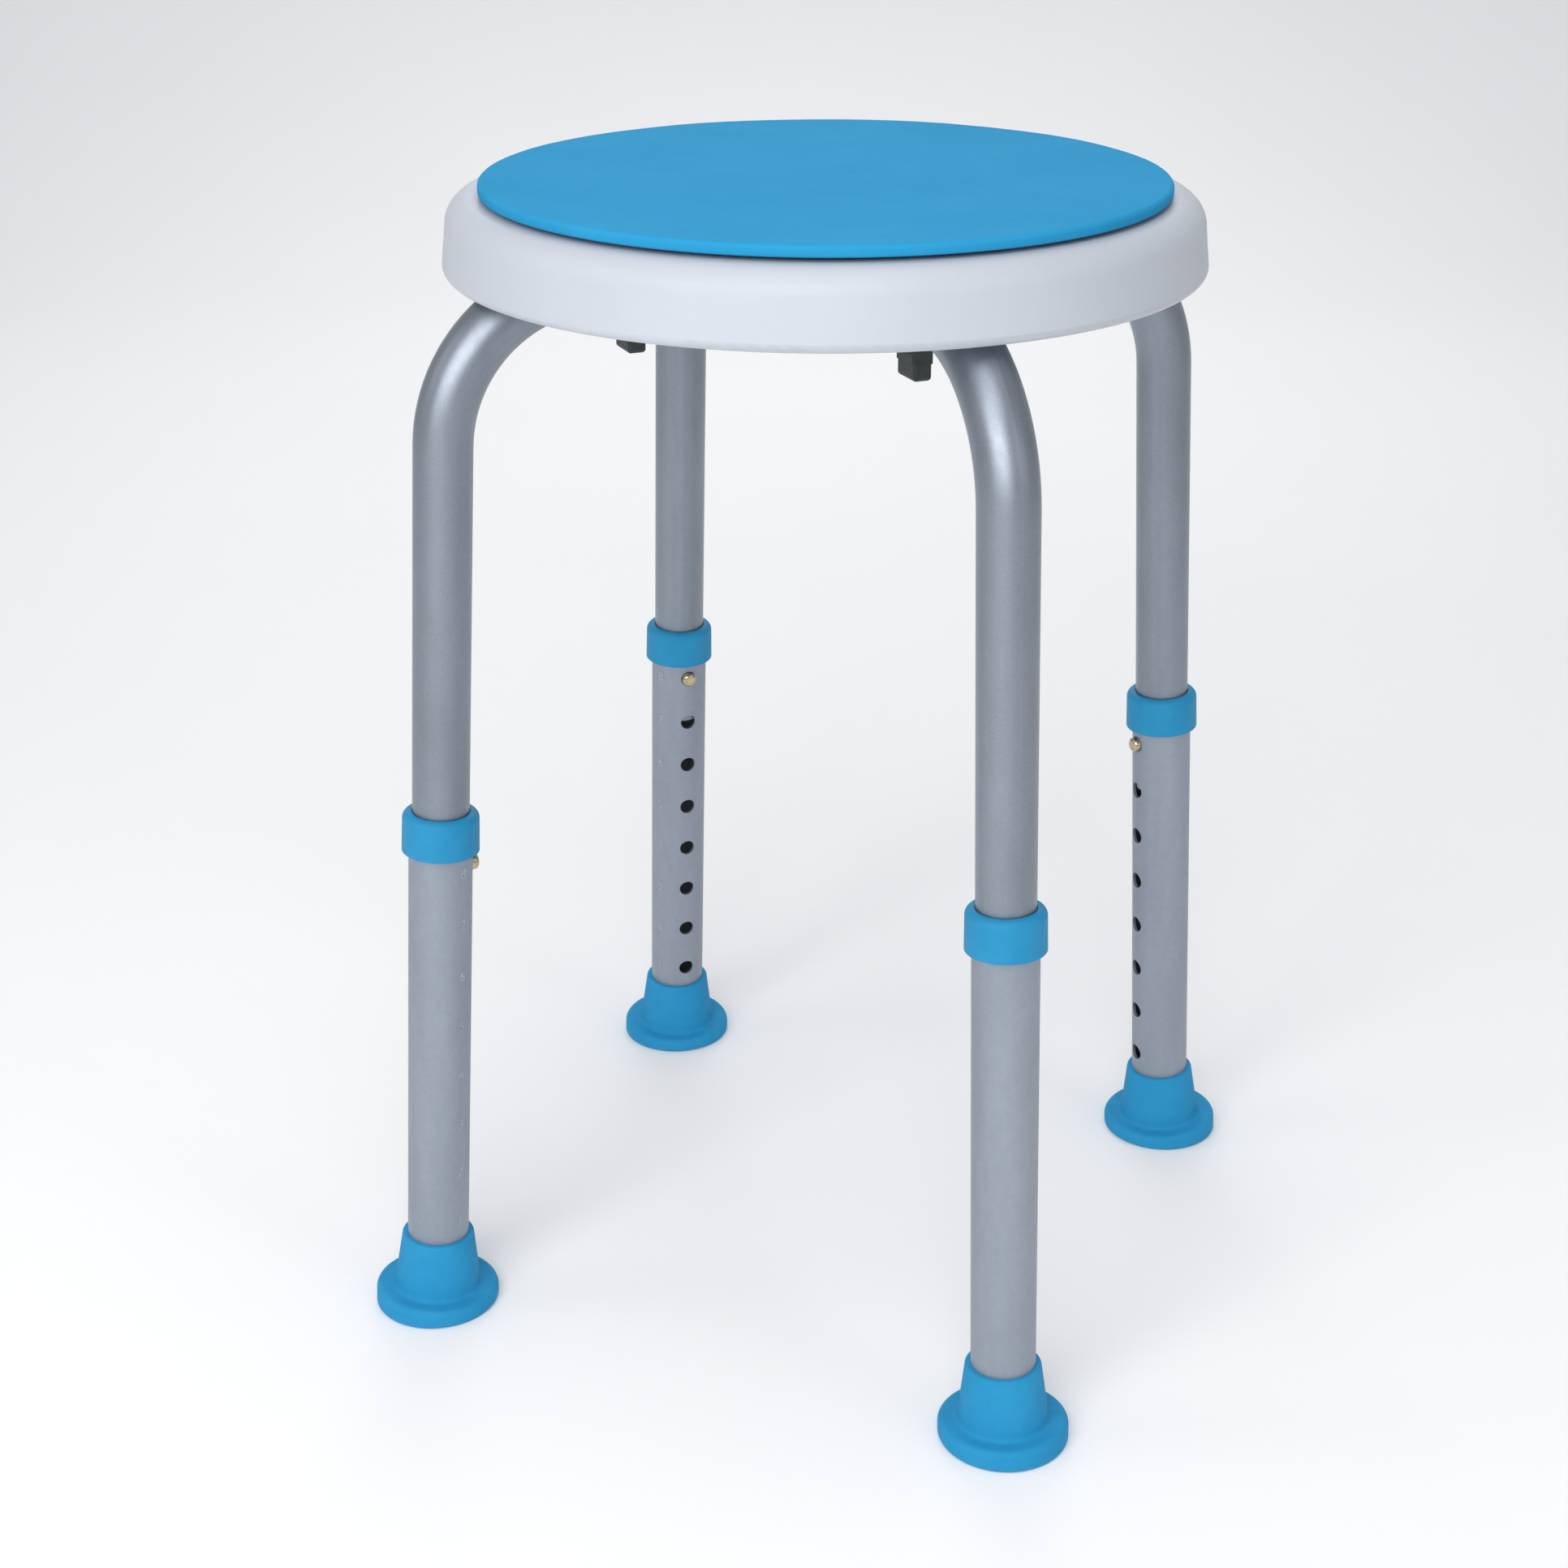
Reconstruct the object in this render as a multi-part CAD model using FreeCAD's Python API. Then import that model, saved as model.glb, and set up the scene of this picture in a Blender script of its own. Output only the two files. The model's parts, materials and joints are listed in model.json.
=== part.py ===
import FreeCAD, Part
import math
import os

# Round swivel shower stool, millimetres, +Z up, origin on the floor under the seat's centre.
# Each leg stands on a diagonal. A leg is built standing in the XZ plane, then turned into place.
V = FreeCAD.Vector
Z = V(0, 0, 1)
LEGS = {"front_left": 225.0, "front_right": 315.0, "back_right": 45.0, "back_left": 135.0}
KNOB_TURN = {"front_left": 90.0, "front_right": 0.0, "back_right": 35.0, "back_left": 120.0}

# legs
FOOT_RADIUS = 200.0        # where a leg's axis meets the floor
SPLAY = 3.5                # lean of each leg from the vertical, degrees
UPPER_R = 12.7             # outside of the upper tube
UPPER_BORE = 11.3
LOWER_R = 14.2875          # outside of the lower tube
LOWER_BORE = 12.80         # slides on the upper tube with 0.10 mm to spare
UPPER_END = 200.5          # lower end of the upper tube, along the leg from the floor
BEND_START = 418.0         # along the leg
BEND_R = 67.0              # centre line of the bend
INNER_END = 40.0           # radius where the tube stops under the seat
LOWER_START = 8.0
LOWER_TOP = 248.5
HOLE_TOP = 225.5           # centre of the highest hole
HOLE_PITCH = 25.4
HOLE_COUNT = 8
HOLE_R = 4.0
BUTTON_R = 3.8
BUTTON_OUT = 3.0           # how far the button stands out of the lower tube

# seat
SEAT_TOP = 510.2
SEAT_BOTTOM = 478.8
SEAT_R_TOP = 162.6
SEAT_R_LOW = 164.5
SEAT_EDGE = 11.0
RECESS_R = 140.5
RECESS_FLOOR = 506.5
SKIN = 4.0
PAD_R = 148.1
PAD_TOP = 516.9
PAD_BOTTOM = 511.9
DISC_R = 138.0
DISC_BOTTOM = 507.2
BOLT_R = 5.0
KNOB_R_POS = 90.0          # radius of the hand knobs under the seat
KNOB_BOTTOM = 449.5
RIB_OFFSETS = (25.0, 45.0, 65.0)

SIN = math.sin(math.radians(SPLAY))
COS = math.cos(math.radians(SPLAY))
TUBE_Z = BEND_START * COS + BEND_R * (1.0 - SIN)
BEND_CENTRE = V(FOOT_RADIUS - BEND_START * SIN - BEND_R * COS, 0, TUBE_Z - BEND_R)


def cyl(radius, low, high, x=0.0, y=0.0):
    return Part.makeCylinder(radius, high - low, V(x, y, low), Z)


def ring(outer, inner, low, high):
    return cyl(outer, low, high).cut(cyl(inner, low - 1.0, high + 1.0))


def box(x0, x1, y0, y1, z0, z1):
    return Part.makeBox(x1 - x0, y1 - y0, z1 - z0, V(x0, y0, z0))


def turned(points, arcs=()):
    """Solid of revolution about Z from (r, z) points. arcs maps a point's index to the middle of an
    arc that runs from that point to the next."""
    arcs = dict(arcs)
    edges = []
    count = len(points)
    for i in range(count):
        a = V(points[i][0], 0, points[i][1])
        b = V(points[(i + 1) % count][0], 0, points[(i + 1) % count][1])
        if i in arcs:
            edges.append(Part.Arc(a, V(arcs[i][0], 0, arcs[i][1]), b).toShape())
        else:
            edges.append(Part.LineSegment(a, b).toShape())
    return Part.Face(Part.Wire(edges)).revolve(V(0, 0, 0), Z, 360)


def corner(centre, radius, angle):
    a = math.radians(angle)
    return (centre[0] + radius * math.cos(a), centre[1] + radius * math.sin(a))


def on_leg(shape):
    """From the leg's own frame, Z along the leg and X outward, into the standing leg's frame."""
    moved = shape.copy()
    moved.rotate(V(0, 0, 0), V(0, 1, 0), -SPLAY)
    moved.translate(V(FOOT_RADIUS, 0, 0))
    return moved


def around(shape, angle):
    moved = shape.copy()
    moved.rotate(V(0, 0, 0), Z, angle)
    return moved


def one(shape):
    cleaned = shape.removeSplitter()
    return cleaned.Solids[0] if len(cleaned.Solids) == 1 else cleaned


def side_hole(radius, height, reach_in, reach_out):
    """A round bar along the leg's inward normal, used for holes and for the button."""
    return Part.makeCylinder(radius, reach_out - reach_in, V(-reach_in, 0, height), V(-1, 0, 0))


def upper_leg():
    def pipe(radius, extra):
        low = on_leg(cyl(radius, UPPER_END - extra, BEND_START))
        start = V(FOOT_RADIUS - BEND_START * SIN, 0, BEND_START * COS)
        along = V(-SIN, 0, COS)
        circle = Part.Wire(Part.Circle(start, along, radius).toShape())
        bend = Part.Face(circle).revolve(BEND_CENTRE, V(0, -1, 0), 90.0 - SPLAY)
        length = BEND_CENTRE.x - INNER_END + extra
        flat = Part.makeCylinder(radius, length, V(BEND_CENTRE.x, 0, TUBE_Z), V(-1, 0, 0))
        return low.fuse(bend).fuse(flat).removeSplitter()

    tube = pipe(UPPER_R, 0.0).cut(pipe(UPPER_BORE, 1.0))
    tube = tube.cut(on_leg(side_hole(HOLE_R, HOLE_TOP, 5.0, 20.0)))
    tube = tube.cut(cyl(3.3, TUBE_Z - 20.0, TUBE_Z + 20.0, KNOB_R_POS))
    return one(tube)


def extension_tube():
    tube = ring(LOWER_R, LOWER_BORE, LOWER_START, LOWER_TOP)
    for i in range(HOLE_COUNT):
        tube = tube.cut(side_hole(HOLE_R, HOLE_TOP - i * HOLE_PITCH, 5.0, 20.0))
    return one(on_leg(tube))


def collar():
    points = [(LOWER_R, 233.6), (17.3, 233.6), (17.1, 248.6), (13.9, 252.0), (13.0, 252.0),
              (13.0, LOWER_TOP), (LOWER_R, LOWER_TOP)]
    return one(on_leg(turned(points, {2: corner((13.7, 248.6), 3.4, 42.0)})))


def rubber_foot():
    lip = (15.4, 34.4)
    hollow = (22.6, 10.6)
    edge = (26.1, 5.2)
    points = [(LOWER_R, LOWER_START), (LOWER_R, 35.9), (lip[0], 35.9), (16.9, lip[1]), (20.0, hollow[1]),
              (hollow[0], 8.0), (edge[0], 8.0), (28.9, edge[1]), (28.9, -6.0), (0, -6.0), (0, 6.0),
              (LOWER_R, 6.0)]
    arcs = {2: corner(lip, 1.5, 45.0), 4: corner(hollow, 2.6, 225.0), 6: corner(edge, 2.8, 45.0)}
    foot = on_leg(turned(points, arcs))
    foot = foot.cut(box(100, 300, -100, 100, -30, 0))
    for outer, inner in ((24.5, 22.5), (19.5, 17.5), (14.5, 12.5)):
        foot = foot.cut(ring(outer, inner, -1.0, 1.6).translated(V(FOOT_RADIUS, 0, 0)))
    rim = [e for e in foot.Edges if abs(e.BoundBox.ZMax) < 0.01 and e.Length > 170.0]
    return one(foot.makeFillet(0.9, rim))


def foot_washer():
    return one(on_leg(ring(14.2, 5.0, 6.0, LOWER_START)))


def snap_button():
    tip = LOWER_R + BUTTON_OUT
    soft = 2.0
    profile = [(0, 8.7), (5.0, 8.7), (5.0, 9.7), (BUTTON_R, 9.7), (BUTTON_R, tip - soft),
               (BUTTON_R - soft, tip), (0, tip)]
    pin = turned(profile, {4: corner((BUTTON_R - soft, tip - soft), soft, 45.0)})
    pin.rotate(V(0, 0, 0), V(0, 1, 0), -90)
    pin.translate(V(0, 0, HOLE_TOP))
    return one(on_leg(pin))


def button_spring():
    """Bent strip: one arm behind the button, the other against the far wall, joined by a round end."""
    thick = 0.8
    top = HOLE_TOP + 34.0
    outline = [V(-8.6, 0, HOLE_TOP - 6.0), V(-8.6, 0, HOLE_TOP + 6.0), V(-3.2, 0, top), V(3.2, 0, top),
               V(10.4, 0, HOLE_TOP + 2.0), V(10.4, 0, HOLE_TOP - 16.0)]
    inner = [V(10.4 - thick, 0, HOLE_TOP - 16.0), V(10.4 - thick, 0, HOLE_TOP + 1.9),
             V(3.2 - thick, 0, top - 0.2), V(-3.2 + thick, 0, top - 0.2), V(-8.6 + thick, 0, HOLE_TOP + 5.8),
             V(-8.6 + thick, 0, HOLE_TOP - 6.0)]
    edges = []
    for a, b in ((0, 1), (1, 2)):
        edges.append(Part.LineSegment(outline[a], outline[b]).toShape())
    edges.append(Part.Arc(outline[2], V(0, 0, top + 3.2), outline[3]).toShape())
    for a, b in ((3, 4), (4, 5)):
        edges.append(Part.LineSegment(outline[a], outline[b]).toShape())
    edges.append(Part.LineSegment(outline[5], inner[0]).toShape())
    for a, b in ((0, 1), (1, 2)):
        edges.append(Part.LineSegment(inner[a], inner[b]).toShape())
    edges.append(Part.Arc(inner[2], V(0, 0, top + 3.2 - thick), inner[3]).toShape())
    for a, b in ((3, 4), (4, 5)):
        edges.append(Part.LineSegment(inner[a], inner[b]).toShape())
    edges.append(Part.LineSegment(inner[5], outline[0]).toShape())
    strip = Part.Face(Part.Wire(edges)).extrude(V(0, 7.0, 0))
    strip.translate(V(0, -3.5, 0))
    return one(on_leg(strip))


def knob(turn):
    """Hand knob with a two-step wing under each tube and a hub that fits the tube's round underside."""
    tip = box(-8.25, 8.25, -4.1, 4.1, KNOB_BOTTOM, 458.0)
    tip = tip.makeFillet(1.6, [e for e in tip.Edges if e.BoundBox.ZMin < 457.9])
    grip = box(-8.25, 8.25, -4.7, 4.7, 456.5, 462.0)
    grip = grip.makeFillet(1.4, [e for e in grip.Edges if e.BoundBox.ZLength > 4.0])
    wing = tip.fuse(grip)
    hub = cyl(7.5, 461.0, 470.0)
    shape = around(wing.fuse(hub), turn)
    shape.translate(V(KNOB_R_POS, 0, 0))
    bar = Part.makeCylinder(UPPER_R, 60, V(KNOB_R_POS - 30, 0, TUBE_Z), V(1, 0, 0))
    shape = shape.cut(bar).cut(cyl(3.0, 456.0, 480.0, KNOB_R_POS))
    return one(shape)


def seat_base():
    """Moulding with a flat top, a shallow round recess for the turning disc and an open ribbed underside."""
    e = SEAT_EDGE
    outer = turned(
        [(0, SEAT_BOTTOM), (SEAT_R_LOW - 4.0, SEAT_BOTTOM), (SEAT_R_LOW, SEAT_BOTTOM + 4.0),
         (SEAT_R_TOP, SEAT_TOP - e), (SEAT_R_TOP - e, SEAT_TOP), (0, SEAT_TOP)],
        {1: corner((SEAT_R_LOW - 4.0, SEAT_BOTTOM + 4.0), 4.0, -45.0),
         3: corner((SEAT_R_TOP - e, SEAT_TOP - e), e, 45.0)})
    inside = e - SKIN
    hollow = turned(
        [(0, SEAT_BOTTOM - 5.0), (SEAT_R_LOW - SKIN, SEAT_BOTTOM - 5.0), (SEAT_R_LOW - SKIN, SEAT_BOTTOM + 4.0),
         (SEAT_R_TOP - SKIN, SEAT_TOP - e), (SEAT_R_TOP - e, SEAT_TOP - SKIN), (RECESS_R + 3.0, SEAT_TOP - SKIN),
         (RECESS_R - 1.0, RECESS_FLOOR - SKIN), (0, RECESS_FLOOR - SKIN)],
        {3: corner((SEAT_R_TOP - e, SEAT_TOP - e), inside, 45.0)})
    base = outer.cut(hollow).cut(cyl(RECESS_R, RECESS_FLOOR, SEAT_TOP + 5.0))
    deck = RECESS_FLOOR - SKIN
    base = base.fuse(cyl(17.0, TUBE_Z + 4.0, deck + 1.0))
    base = base.fuse(ring(121.5, 118.5, TUBE_Z + 2.0, deck + 1.0))
    base = base.fuse(ring(34.5, 31.5, TUBE_Z + 6.0, deck + 1.0))
    for angle in LEGS.values():
        rib = box(16.0, 160.8, -1.5, 1.5, TUBE_Z + 8.0, deck + 1.0)
        for offset in RIB_OFFSETS:
            base = base.fuse(around(rib, angle + offset))
        block = box(36.0, 118.0, -18.0, 18.0, TUBE_Z, deck + 1.0)
        base = base.fuse(around(block, angle))
    for angle in LEGS.values():
        flat = Part.makeCylinder(UPPER_R, 78.0, V(BEND_CENTRE.x, 0, TUBE_Z), V(-1, 0, 0))
        insert = cyl(4.2, TUBE_Z + 10.0, deck - 0.5, KNOB_R_POS)
        channel = flat.fuse(insert)
        base = base.cut(around(channel, angle))
        torus = Part.makeTorus(BEND_R, UPPER_R + 0.5)
        torus.rotate(V(0, 0, 0), V(1, 0, 0), 90)
        torus.translate(BEND_CENTRE)
        keep = box(BEND_CENTRE.x, 200.0, -20.0, 20.0, 380.0, deck - 1.0)
        base = base.cut(around(torus.common(keep), angle))
    base = base.cut(ring(126.0, 122.0, RECESS_FLOOR - 1.5, RECESS_FLOOR + 1.0))
    base = base.cut(cyl(9.0, TUBE_Z, RECESS_FLOOR + 1.0))
    return one(base)


def swivel_disc():
    disc = turned([(0, DISC_BOTTOM), (DISC_R - 0.8, DISC_BOTTOM), (DISC_R, DISC_BOTTOM + 0.8),
                   (DISC_R, PAD_BOTTOM - 0.8), (DISC_R - 0.8, PAD_BOTTOM), (0, PAD_BOTTOM)])
    disc = disc.cut(cyl(BOLT_R, 500.0, 520.0)).cut(cyl(12.2, PAD_BOTTOM - 2.6, 520.0))
    return one(disc)


def seat_pad():
    pad = turned([(0, PAD_BOTTOM), (PAD_R - 0.6, PAD_BOTTOM), (PAD_R, PAD_BOTTOM + 0.6),
                  (PAD_R, PAD_TOP - 1.6), (PAD_R - 1.6, PAD_TOP), (0, PAD_TOP)],
                 {3: corner((PAD_R - 1.6, PAD_TOP - 1.6), 1.6, 45.0)})
    return one(pad)


def pivot_bolt():
    head = turned([(0, PAD_BOTTOM - 2.6), (12.0, PAD_BOTTOM - 2.6), (12.0, PAD_BOTTOM - 1.8),
                   (5.0, PAD_BOTTOM - 0.1), (0, PAD_BOTTOM - 0.1)])
    shank = cyl(BOLT_R, 470.0, PAD_BOTTOM - 2.0)
    return one(head.fuse(shank))


def pivot_bushing():
    sleeve = ring(9.0, BOLT_R + 0.06, TUBE_Z + 2.9, RECESS_FLOOR)
    return one(sleeve.fuse(ring(14.0, BOLT_R + 0.06, TUBE_Z + 2.0, TUBE_Z + 4.0)))


def hex_nut(across, hole, low, high):
    corner_r = across / math.sqrt(3.0)
    points = [V(corner_r * math.cos(math.radians(60 * i)), corner_r * math.sin(math.radians(60 * i)), low)
              for i in range(7)]
    prism = Part.Face(Part.makePolygon(points)).extrude(V(0, 0, high - low))
    cone = turned([(0, low - 1.0), (corner_r + 0.2, low - 1.0), (corner_r + 0.2, high - 1.4),
                   (across / 2.0 - 0.2, high), (0, high)])
    return prism.common(cone).cut(cyl(hole, low - 5.0, high + 5.0))


def make_all():
    nodes = {}
    leg_parts = {
        "upper_leg": upper_leg(), "extension_tube": extension_tube(), "extension_collar": collar(),
        "rubber_foot": rubber_foot(), "foot_washer": foot_washer(), "snap_button": snap_button(),
        "button_spring": button_spring()}
    for place, angle in LEGS.items():
        for name, shape in leg_parts.items():
            nodes[name + "_" + place] = around(shape, angle)
        nodes["leg_knob_" + place] = around(knob(KNOB_TURN[place]), angle)
    stud = cyl(3.0, 456.0, 499.0, KNOB_R_POS)
    insert = cyl(4.2, TUBE_Z + UPPER_R + 0.2, 501.0, KNOB_R_POS).cut(stud)
    nodes["knob_studs"] = Part.makeCompound([around(stud, a) for a in LEGS.values()])
    nodes["thread_inserts"] = Part.makeCompound([around(insert, a) for a in LEGS.values()])
    nodes["seat_base"] = seat_base()
    nodes["glide_ring"] = ring(125.9, 122.1, RECESS_FLOOR - 1.5, DISC_BOTTOM - 0.05)
    nodes["swivel_disc"] = swivel_disc()
    nodes["seat_pad"] = seat_pad()
    nodes["pivot_bolt"] = pivot_bolt()
    nodes["pivot_bushing"] = pivot_bushing()
    nodes["pivot_washer"] = ring(12.5, BOLT_R, TUBE_Z + 0.15, TUBE_Z + 1.95)
    nodes["pivot_lock_nut"] = hex_nut(16.0, BOLT_R, TUBE_Z - 9.35, TUBE_Z + 0.15)
    return nodes


os.makedirs("parts", exist_ok=True)
for node, solid in make_all().items():
    print(node, len(solid.Solids), "valid" if solid.isValid() else "INVALID", round(solid.Volume / 1000.0, 2))
    solid.exportStep("parts/" + node + ".step")
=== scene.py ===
import json
import math

import bmesh
import bpy
from mathutils import Matrix, Vector, noise


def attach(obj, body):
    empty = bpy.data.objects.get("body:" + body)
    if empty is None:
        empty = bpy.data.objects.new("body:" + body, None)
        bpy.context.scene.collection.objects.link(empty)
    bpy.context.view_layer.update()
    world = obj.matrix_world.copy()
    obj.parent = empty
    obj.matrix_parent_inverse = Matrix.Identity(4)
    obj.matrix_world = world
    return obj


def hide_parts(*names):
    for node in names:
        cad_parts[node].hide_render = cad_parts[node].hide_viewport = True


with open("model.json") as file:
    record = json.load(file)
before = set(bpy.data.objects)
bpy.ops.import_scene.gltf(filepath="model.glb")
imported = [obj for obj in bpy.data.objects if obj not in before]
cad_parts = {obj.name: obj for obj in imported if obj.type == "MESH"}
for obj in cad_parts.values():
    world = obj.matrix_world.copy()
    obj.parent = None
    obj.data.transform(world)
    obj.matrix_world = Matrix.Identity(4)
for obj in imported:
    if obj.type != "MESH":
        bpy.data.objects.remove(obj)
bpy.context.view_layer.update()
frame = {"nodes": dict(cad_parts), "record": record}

# The leg frame of the CAD model, in metres: each leg stands on a diagonal and leans inward.
LEGS = {"front_left": 225.0, "front_right": 315.0, "back_right": 45.0, "back_left": 135.0}
FOOT_RADIUS = 0.200
SPLAY = math.radians(3.5)
TUBE_R = 0.0142875
HOLE_TOP = 0.2255
HOLE_PITCH = 0.0254
PAD_R, PAD_BOTTOM, PAD_TOP = 0.1481, 0.5119, 0.5169
PAD_SURFACE = PAD_TOP - 0.0002        # leaves room for the uneven top
NUMBER_ANGLE = math.radians(118.0)    # round the lower tube, in the leg frame
NUMBER_SIZE = 0.0068
HOLE_COUNT = 8
FLOOR_Z = -0.0003                     # just under the feet


# ---------------------------------------------------------------- material nodes
class Mat:
    """A small helper round one Principled material."""

    def __init__(self, name):
        self.mat = bpy.data.materials.new(name)
        self.mat.use_nodes = True
        self.nodes = self.mat.node_tree.nodes
        self.links = self.mat.node_tree.links
        self.bsdf = next(n for n in self.nodes if n.type == "BSDF_PRINCIPLED")
        self.coord = self.nodes.new("ShaderNodeTexCoord")

    def set(self, **values):
        for key, value in values.items():
            self.bsdf.inputs[key.replace("_", " ")].default_value = value

    def mapped(self, scale):
        node = self.nodes.new("ShaderNodeMapping")
        node.inputs["Scale"].default_value = scale
        self.links.new(self.coord.outputs["Object"], node.inputs["Vector"])
        return node.outputs["Vector"]

    def noise(self, scale, detail=3.0, rough=0.5, stretch=(1, 1, 1)):
        node = self.nodes.new("ShaderNodeTexNoise")
        node.inputs["Scale"].default_value = scale
        node.inputs["Detail"].default_value = detail
        node.inputs["Roughness"].default_value = rough
        self.links.new(self.mapped(stretch), node.inputs["Vector"])
        return node.outputs["Fac"]

    def cells(self, scale, feature="F1", stretch=(1, 1, 1)):
        node = self.nodes.new("ShaderNodeTexVoronoi")
        node.feature = feature
        node.inputs["Scale"].default_value = scale
        self.links.new(self.mapped(stretch), node.inputs["Vector"])
        return node.outputs["Distance"]

    def span(self, value, low, high, to_low, to_high):
        node = self.nodes.new("ShaderNodeMapRange")
        node.inputs["From Min"].default_value = low
        node.inputs["From Max"].default_value = high
        node.inputs["To Min"].default_value = to_low
        node.inputs["To Max"].default_value = to_high
        self.links.new(value, node.inputs["Value"])
        return node.outputs["Result"]

    def mix(self, factor, a, b):
        node = self.nodes.new("ShaderNodeMix")
        node.data_type = "RGBA"
        for socket, value in ((node.inputs[0], factor), (node.inputs[6], a), (node.inputs[7], b)):
            if isinstance(value, bpy.types.NodeSocket):
                self.links.new(value, socket)
            else:
                socket.default_value = value
        return node.outputs[2]

    def add(self, a, b, weight):
        node = self.nodes.new("ShaderNodeMath")
        node.operation = "MULTIPLY_ADD"
        self.links.new(b, node.inputs[0])
        node.inputs[1].default_value = weight
        self.links.new(a, node.inputs[2])
        return node.outputs[0]

    def colour(self, socket):
        self.links.new(socket, self.bsdf.inputs["Base Color"])

    def roughness(self, socket):
        self.links.new(socket, self.bsdf.inputs["Roughness"])

    def bump(self, height, distance, strength=1.0):
        node = self.nodes.new("ShaderNodeBump")
        node.inputs["Strength"].default_value = strength
        node.inputs["Distance"].default_value = distance
        self.links.new(height, node.inputs["Height"])
        self.links.new(node.outputs["Normal"], self.bsdf.inputs["Normal"])


def rgb(r, g, b):
    """sRGB 0 to 255 to a linear colour."""
    out = []
    for c in (r, g, b):
        c /= 255.0
        out.append(c / 12.92 if c <= 0.04045 else ((c + 0.055) / 1.055) ** 2.4)
    return (*out, 1.0)


def white_moulding():
    m = Mat("white_moulding")
    tone = m.span(m.noise(9.0, 4.0), 0.3, 0.7, 0.0, 1.0)
    base = m.mix(tone, rgb(187, 192, 201), rgb(192, 197, 205))
    dots = m.span(m.cells(42.0), 0.0, 0.012, 1.0, 0.0)
    m.colour(m.mix(dots, base, rgb(120, 118, 116)))
    m.roughness(m.span(m.noise(160.0, 3.0), 0.3, 0.7, 0.40, 0.50))
    m.bump(m.add(m.noise(1400.0, 2.0), m.noise(28.0, 2.0), 2.0), 0.00006, 0.5)
    m.set(Specular_IOR_Level=0.36, Subsurface_Weight=0.06, Subsurface_Scale=0.004)
    return m.mat


def blue_foam():
    m = Mat("blue_foam")
    tone = m.span(m.noise(22.0, 5.0, 0.6), 0.3, 0.7, 0.0, 1.0)
    base = m.mix(tone, rgb(41, 148, 197), rgb(47, 153, 201))
    # painted shade: the colour darkens towards the centre of each fine cell, standing in for shade in the
    # foam's pores
    pore_shade = m.span(m.cells(2600.0), 0.05, 0.45, 0.10, 0.0)
    m.colour(m.mix(pore_shade, base, rgb(28, 124, 176)))
    m.roughness(m.span(m.noise(420.0, 2.0), 0.3, 0.7, 0.80, 0.92))
    m.bump(m.add(m.cells(2600.0), m.noise(60.0, 3.0), 1.2), 0.00010, 0.55)
    m.set(Specular_IOR_Level=0.10)
    return m.mat


def blue_moulded(name, dark, light, rough_low, rough_high, grain):
    m = Mat(name)
    tone = m.span(m.noise(70.0, 4.0, 0.6), 0.3, 0.7, 0.0, 1.0)
    m.colour(m.mix(tone, dark, light))
    m.roughness(m.span(m.noise(500.0, 3.0), 0.3, 0.7, rough_low, rough_high))
    m.bump(m.add(m.noise(grain, 3.0), m.noise(140.0, 2.0), 1.5), 0.00008, 0.6)
    m.set(Specular_IOR_Level=0.22, Subsurface_Weight=0.04, Subsurface_Scale=0.002)
    return m.mat


def bright_aluminium():
    m = Mat("bright_aluminium")
    grain = m.noise(2400.0, 3.0, 0.7)
    tone = m.span(m.add(grain, m.noise(35.0, 4.0, 0.6, (1, 1, 0.35)), 0.6), 0.5, 1.0, 0.0, 1.0)
    metal_tone = m.mix(tone, rgb(124, 132, 141), rgb(149, 157, 168))
    scuffs = m.span(m.add(m.noise(190.0, 6.0, 0.8), m.noise(14.0, 2.0), 0.5), 1.02, 1.06, 0.0, 0.5)
    m.colour(m.mix(scuffs, metal_tone, rgb(205, 209, 214)))
    m.roughness(m.span(m.noise(420.0, 3.0), 0.3, 0.7, 0.40, 0.46))
    m.bump(grain, 0.00003, 0.4)
    m.set(Metallic=0.9, Coat_Weight=0.25, Coat_Roughness=0.35)
    return m.mat


def satin_aluminium():
    m = Mat("satin_aluminium")
    grain = m.noise(2600.0, 3.0, 0.7)
    tone = m.span(m.add(grain, m.noise(60.0, 4.0, 0.6, (1, 1, 0.25)), 0.7), 0.5, 1.1, 0.0, 1.0)
    m.colour(m.mix(tone, rgb(141, 149, 160), rgb(160, 168, 179)))
    m.roughness(m.span(m.noise(300.0, 3.0), 0.3, 0.7, 0.46, 0.56))
    m.bump(grain, 0.00005, 0.5)
    m.set(Metallic=0.7)
    return m.mat


def metal(name, dark, light, rough_low, rough_high):
    m = Mat(name)
    tone = m.span(m.noise(380.0, 4.0, 0.6), 0.3, 0.7, 0.0, 1.0)
    m.colour(m.mix(tone, dark, light))
    m.roughness(m.span(m.noise(900.0, 3.0), 0.3, 0.7, rough_low, rough_high))
    m.bump(m.noise(1500.0, 3.0), 0.00003, 0.4)
    m.set(Metallic=1.0)
    return m.mat


def plain_moulded(name, dark, light, rough):
    m = Mat(name)
    tone = m.span(m.noise(160.0, 4.0, 0.6), 0.3, 0.7, 0.0, 1.0)
    m.colour(m.mix(tone, dark, light))
    m.roughness(m.span(m.noise(700.0, 3.0), 0.3, 0.7, rough, rough + 0.12))
    m.bump(m.noise(1700.0, 3.0), 0.00007, 0.6)
    m.set(Specular_IOR_Level=0.4)
    return m.mat


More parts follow.
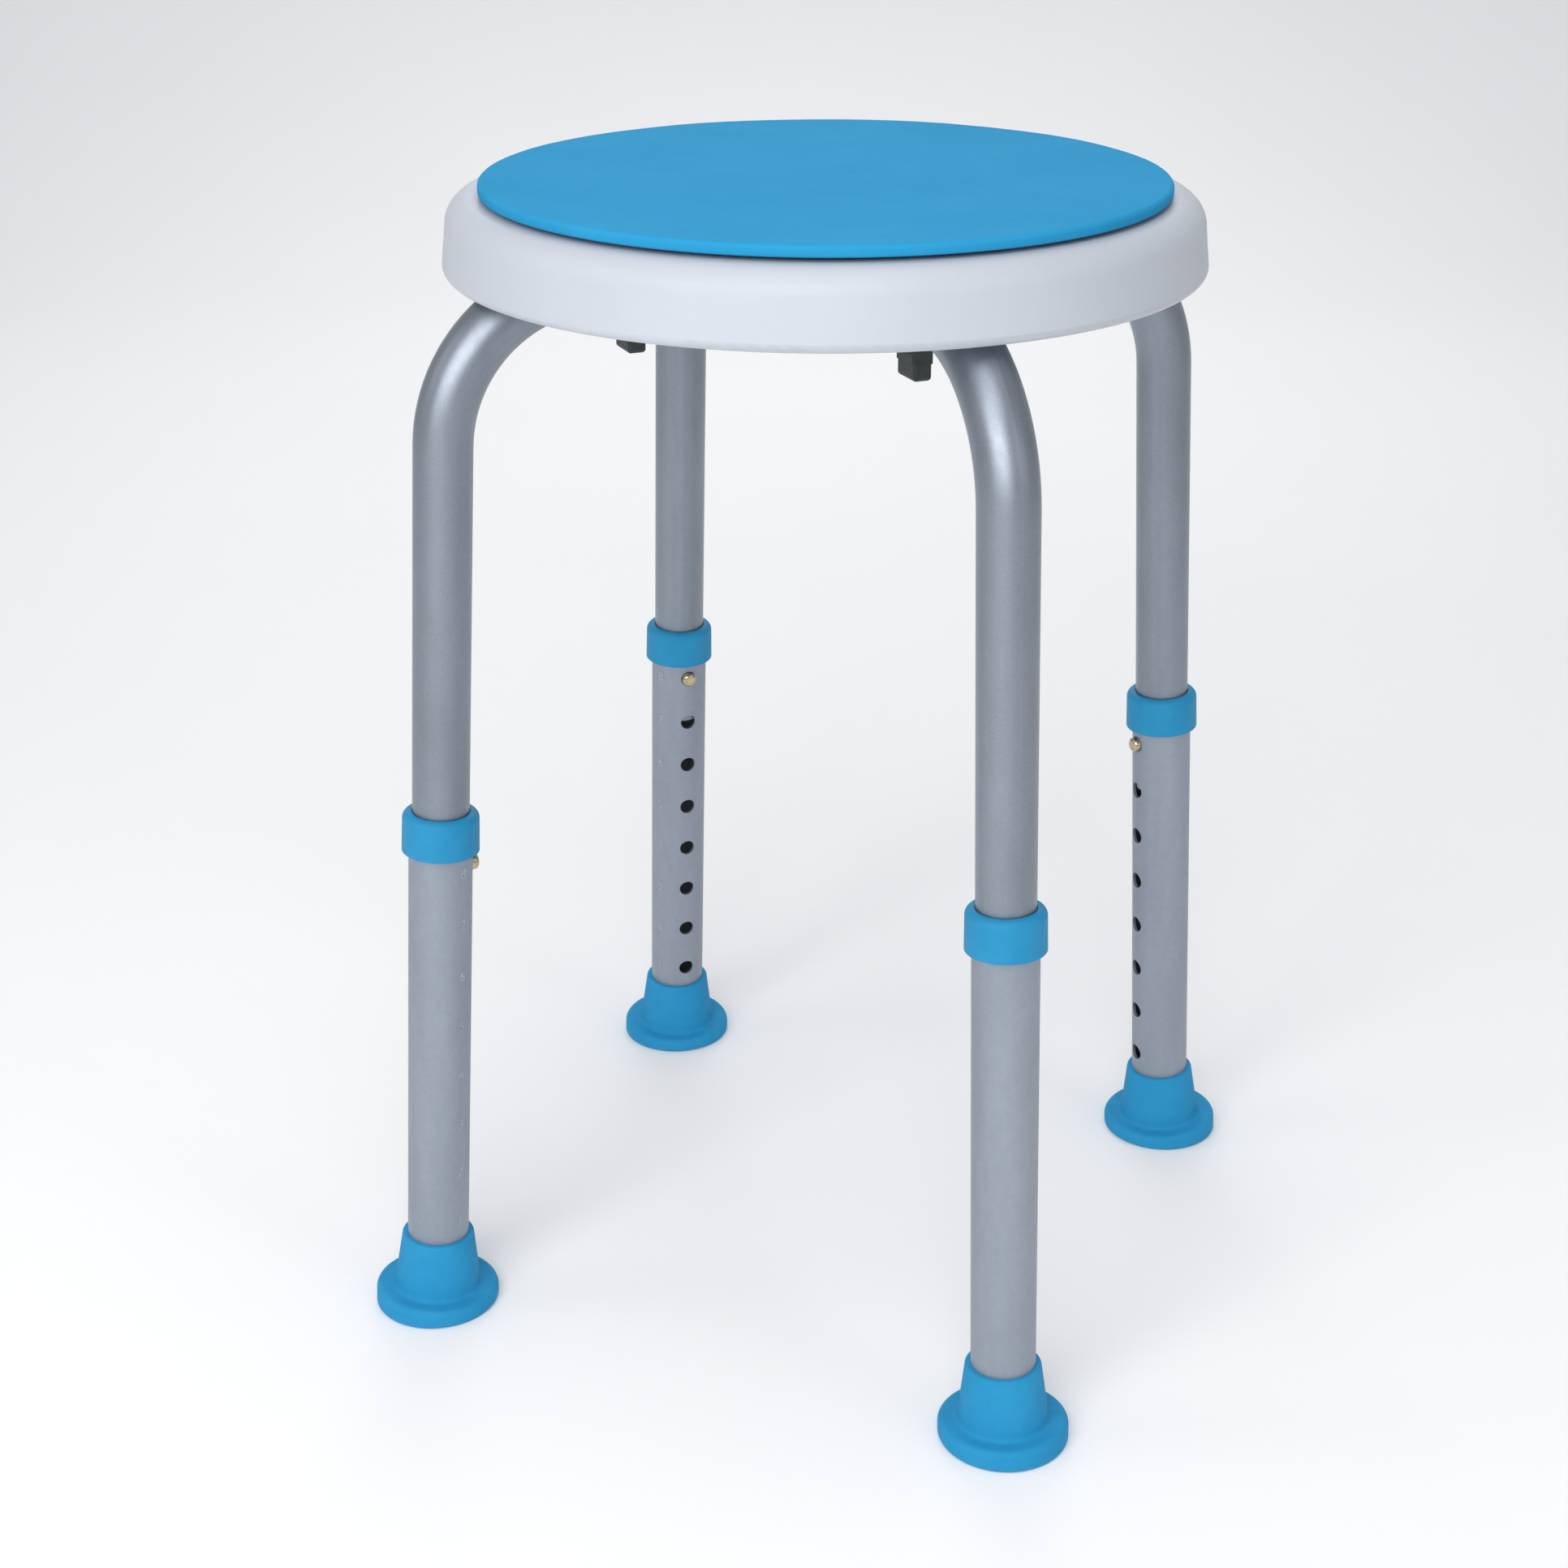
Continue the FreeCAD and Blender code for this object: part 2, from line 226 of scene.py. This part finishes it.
MATERIALS = {
    "white_plastic": white_moulding(),
    "blue_foam": blue_foam(),
    "blue_plastic": blue_moulded("blue_collar", rgb(34, 135, 181), rgb(40, 141, 186), 0.46, 0.58, 1500.0),
    "blue_rubber": blue_moulded("blue_rubber", rgb(34, 141, 190), rgb(42, 147, 195), 0.66, 0.80, 1100.0),
    "bright_aluminium": bright_aluminium(),
    "satin_aluminium": satin_aluminium(),
    "zinc_steel": metal("zinc_steel", rgb(150, 150, 146), rgb(186, 186, 180), 0.30, 0.45),
    "warm_nickel": metal("warm_nickel", rgb(178, 163, 134), rgb(202, 188, 160), 0.18, 0.28),
    "spring_steel": metal("spring_steel", rgb(96, 98, 102), rgb(128, 130, 134), 0.30, 0.42),
    "stainless_steel": metal("stainless_steel", rgb(170, 170, 170), rgb(200, 200, 200), 0.24, 0.36),
    "brass_insert": metal("brass_insert", rgb(176, 140, 70), rgb(206, 172, 98), 0.28, 0.40),
    "dark_plastic": plain_moulded("dark_plastic", rgb(40, 50, 47), rgb(52, 63, 60), 0.42),
    "glide_plastic": plain_moulded("glide_plastic", rgb(214, 212, 204), rgb(228, 226, 218), 0.35),
    # painted shade: the swivel disc's dark warm brown stands in for the shadow line under the pad's edge
    "disc_plastic": plain_moulded("disc_plastic", rgb(62, 57, 50), rgb(74, 69, 62), 0.45),
}

for entry in frame["record"]["subparts"]:
    obj = frame["nodes"][entry["node"]]
    obj.data.materials.clear()
    obj.data.materials.append(MATERIALS[entry["material_slot"]])


# ---------------------------------------------------------------- mesh pieces
def new_object(name, mesh_maker):
    mesh = bpy.data.meshes.new(name)
    bm = bmesh.new()
    mesh_maker(bm)
    bm.normal_update()
    bm.to_mesh(mesh)
    bm.free()
    obj = bpy.data.objects.new(name, mesh)
    bpy.context.scene.collection.objects.link(obj)
    for face in mesh.polygons:
        face.use_smooth = True
    return obj


def pad_mesh(bm):
    """Soft disc: flat underneath, rounded all round its edge, and slightly uneven on top as cut foam is."""
    edge = 0.0019
    low = 0.0009
    profile = [(PAD_R - low - 0.012, PAD_BOTTOM)]
    for i in range(5):
        a = math.radians(-90 + 90 * i / 4)
        profile.append((PAD_R - low + low * math.cos(a), PAD_BOTTOM + low + low * math.sin(a)))
    for i in range(8):
        a = math.radians(90 * i / 7)
        profile.append((PAD_R - edge + edge * math.cos(a), PAD_SURFACE - edge + edge * math.sin(a)))
    for i in range(1, 34):
        profile.append(((PAD_R - edge) * (1 - i / 34.0), PAD_SURFACE))
    around = 256
    rings = []
    for r, z in profile:
        ring = []
        for k in range(around):
            a = 2 * math.pi * k / around
            x, y = r * math.cos(a), r * math.sin(a)
            lift = 0.0
            if z > PAD_TOP - 0.001:
                broad = noise.noise(Vector((x * 26, y * 26, 1.7)))
                fine = noise.noise(Vector((x * 120, y * 120, 4.2)))
                lift = 0.00016 * broad + 0.00005 * fine
            ring.append(bm.verts.new((x, y, z + lift)))
        rings.append(ring)
    for a, b in zip(rings, rings[1:]):
        for k in range(around):
            n = (k + 1) % around
            bm.faces.new((a[k], a[n], b[n], b[k]))
    top = bm.verts.new((0, 0, PAD_SURFACE))
    bottom = bm.verts.new((0, 0, PAD_BOTTOM))
    for k in range(around):
        n = (k + 1) % around
        bm.faces.new((rings[-1][k], rings[-1][n], top))
        bm.faces.new((rings[0][n], rings[0][k], bottom))


pad = new_object("foam_seat_pad", pad_mesh)
pad.data.materials.append(MATERIALS["blue_foam"])
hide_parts("seat_pad")
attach(pad, "swivel")


def leg_matrix(angle):
    return (Matrix.Rotation(math.radians(angle), 4, "Z") @ Matrix.Translation((FOOT_RADIUS, 0, 0))
            @ Matrix.Rotation(-SPLAY, 4, "Y"))


# painted highlight: the numbers are a touch brighter than the tube, standing in for the light that the
# raised strokes catch
STAMPED_HIGHLIGHT = metal("stamped_painted_highlight", rgb(160, 168, 178), rgb(182, 189, 197), 0.34, 0.44)


def stamped_numbers(place, angle):
    """Setting numbers beside the adjusting holes, 1 at the foot to 8 at the collar, curved to the tube."""
    bm = bmesh.new()
    for i in range(HOLE_COUNT):
        text = bpy.data.curves.new("number", "FONT")
        text.body = str(HOLE_COUNT - i)
        text.size = NUMBER_SIZE
        text.align_x = "CENTER"
        text.align_y = "CENTER"
        text.extrude = 0.00010
        text.bevel_depth = 0.00007
        text.resolution_u = 4
        carrier = bpy.data.objects.new("number", text)
        mesh = bpy.data.meshes.new_from_object(carrier)
        for v in mesh.vertices:
            a = NUMBER_ANGLE + v.co.x / TUBE_R
            r = TUBE_R + 0.00002 + v.co.z
            v.co = (r * math.cos(a), r * math.sin(a), HOLE_TOP - i * HOLE_PITCH + v.co.y)
        bm.from_mesh(mesh)
        bpy.data.objects.remove(carrier)
        bpy.data.curves.remove(text)
        bpy.data.meshes.remove(mesh)
    mesh = bpy.data.meshes.new("stamped_numbers_" + place)
    bm.to_mesh(mesh)
    bm.free()
    mesh.transform(leg_matrix(angle))
    obj = bpy.data.objects.new("stamped_numbers_" + place, mesh)
    bpy.context.scene.collection.objects.link(obj)
    obj.data.materials.append(STAMPED_HIGHLIGHT)
    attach(obj, "extension_" + place)


for place, angle in LEGS.items():
    stamped_numbers(place, angle)

for obj in frame["nodes"].values():
    mesh = obj.data
    mesh.shade_smooth()
    mesh.set_sharp_from_angle(angle=math.radians(32))


# ---------------------------------------------------------------- stage, light and camera
def stage_mesh(bm):
    """Floor that rises in one curve behind the object."""
    half, depth, rise, radius = 6.0, 3.2, 4.0, 1.2
    line = [(-8.0, FLOOR_Z), (depth - radius, FLOOR_Z)]
    for i in range(1, 17):
        a = math.radians(90 * i / 16)
        line.append((depth - radius + radius * math.sin(a), FLOOR_Z + radius - radius * math.cos(a)))
    line.append((depth, rise))
    rows = [[bm.verts.new((x, y, z)) for x in (-half, half)] for y, z in line]
    for a, b in zip(rows, rows[1:]):
        bm.faces.new((a[0], a[1], b[1], b[0]))


AZIMUTH = math.radians(21.667)
ELEVATION = math.radians(23.566)
TARGET = Vector((-0.01632, -0.00648, 0.23225))
DISTANCE = 1.2046
LENS = 58.57

floor = new_object("studio_floor", stage_mesh)
floor.matrix_world = Matrix.Rotation(AZIMUTH, 4, "Z")
paper = Mat("pale_paper")
paper_tone = paper.span(paper.noise(3.0, 2.0), 0.3, 0.7, 0.0, 1.0)
paper.colour(paper.mix(paper_tone, (0.94, 0.94, 0.94, 1), (0.95, 0.95, 0.95, 1)))
paper.roughness(paper.span(paper.noise(40.0), 0.3, 0.7, 0.80, 0.90))
paper.bump(paper.noise(600.0), 0.0001, 0.1)
floor.data.materials.append(paper.mat)


def area_light(name, place, size, power, colour=(1, 1, 1), aim=(0, 0, 0.3), height=None):
    light = bpy.data.lights.new(name, "AREA")
    light.shape = "RECTANGLE"
    light.size = size
    light.size_y = height or size
    light.energy = power
    light.color = colour
    obj = bpy.data.objects.new(name, light)
    bpy.context.scene.collection.objects.link(obj)
    obj.location = place
    obj.rotation_euler = (Vector(aim) - Vector(place)).to_track_quat("-Z", "Y").to_euler()


area_light("key", (0.05, -1.6, 1.05), 1.6, 18.0, (1.0, 0.995, 0.985), (0, 0, 0.4), 0.8)
area_light("above", (0.2, -1.15, 1.9), 1.4, 6.5, (1.0, 1.0, 1.0), (0, 0, 0.42), 0.7)
area_light("left", (-1.8, -0.9, 1.3), 0.6, 2.5, (1.0, 0.99, 0.98), height=1.2)
area_light("fill", (1.9, -0.6, 1.1), 0.7, 3.0, (0.96, 0.98, 1.0), height=1.1)
area_light("top", (0.1, 0.1, 2.4), 1.3, 7.5)
area_light("back", (-0.8, 2.0, 1.5), 1.2, 7.0)
area_light("wall", (-0.55, 1.4, 2.3), 1.6, 10.0, aim=(-1.18, 2.97, 0.7))

world = bpy.data.worlds.new("studio")
bpy.context.scene.world = world
world.use_nodes = True
background = next(n for n in world.node_tree.nodes if n.type == "BACKGROUND")
background.inputs["Color"].default_value = (0.93, 0.95, 1.0, 1.0)
background.inputs["Strength"].default_value = 0.46

camera = bpy.data.objects.new("camera", bpy.data.cameras.new("camera"))
bpy.context.scene.collection.objects.link(camera)
camera.data.lens = LENS
camera.data.sensor_width = 36.0
camera.data.clip_end = 50.0
level = math.cos(ELEVATION)
back = Vector((math.sin(AZIMUTH) * level, -math.cos(AZIMUTH) * level, math.sin(ELEVATION)))
right = Vector((math.cos(AZIMUTH), math.sin(AZIMUTH), 0))
up = back.cross(right)
pose = Matrix((right, up, back)).transposed().to_4x4()
pose.translation = TARGET + back * DISTANCE
camera.matrix_world = pose
bpy.context.scene.camera = camera
bpy.context.scene.view_settings.view_transform = "Standard"
